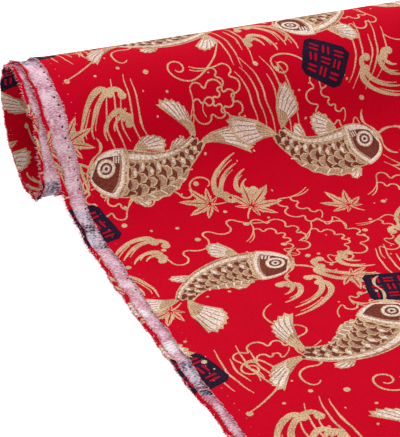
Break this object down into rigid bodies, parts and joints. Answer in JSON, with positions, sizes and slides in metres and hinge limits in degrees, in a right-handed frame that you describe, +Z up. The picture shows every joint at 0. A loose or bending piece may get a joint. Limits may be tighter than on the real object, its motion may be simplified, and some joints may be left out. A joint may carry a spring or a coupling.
{
  "type": "rolled cotton fabric",
  "caption": "Length of printed cotton, folded double and rolled into a loose open tube, with its loose end laid out flat in front.",
  "frame": {"origin": "middle of the footprint, on the surface that the cloth lies on", "axes": "+X along the roll from the selvedges to the folded edge, +Y from the loose end towards the roll, +Z up"},
  "size_m": [0.5657, 0.3776, 0.0768],
  "materials": {
    "printed_cotton": "matt red cotton, printed on one side with gold and dark motifs"
  },
  "bodies": {
    "root": {"cloth": "printed_cotton"}
  },
  "joints": []
}
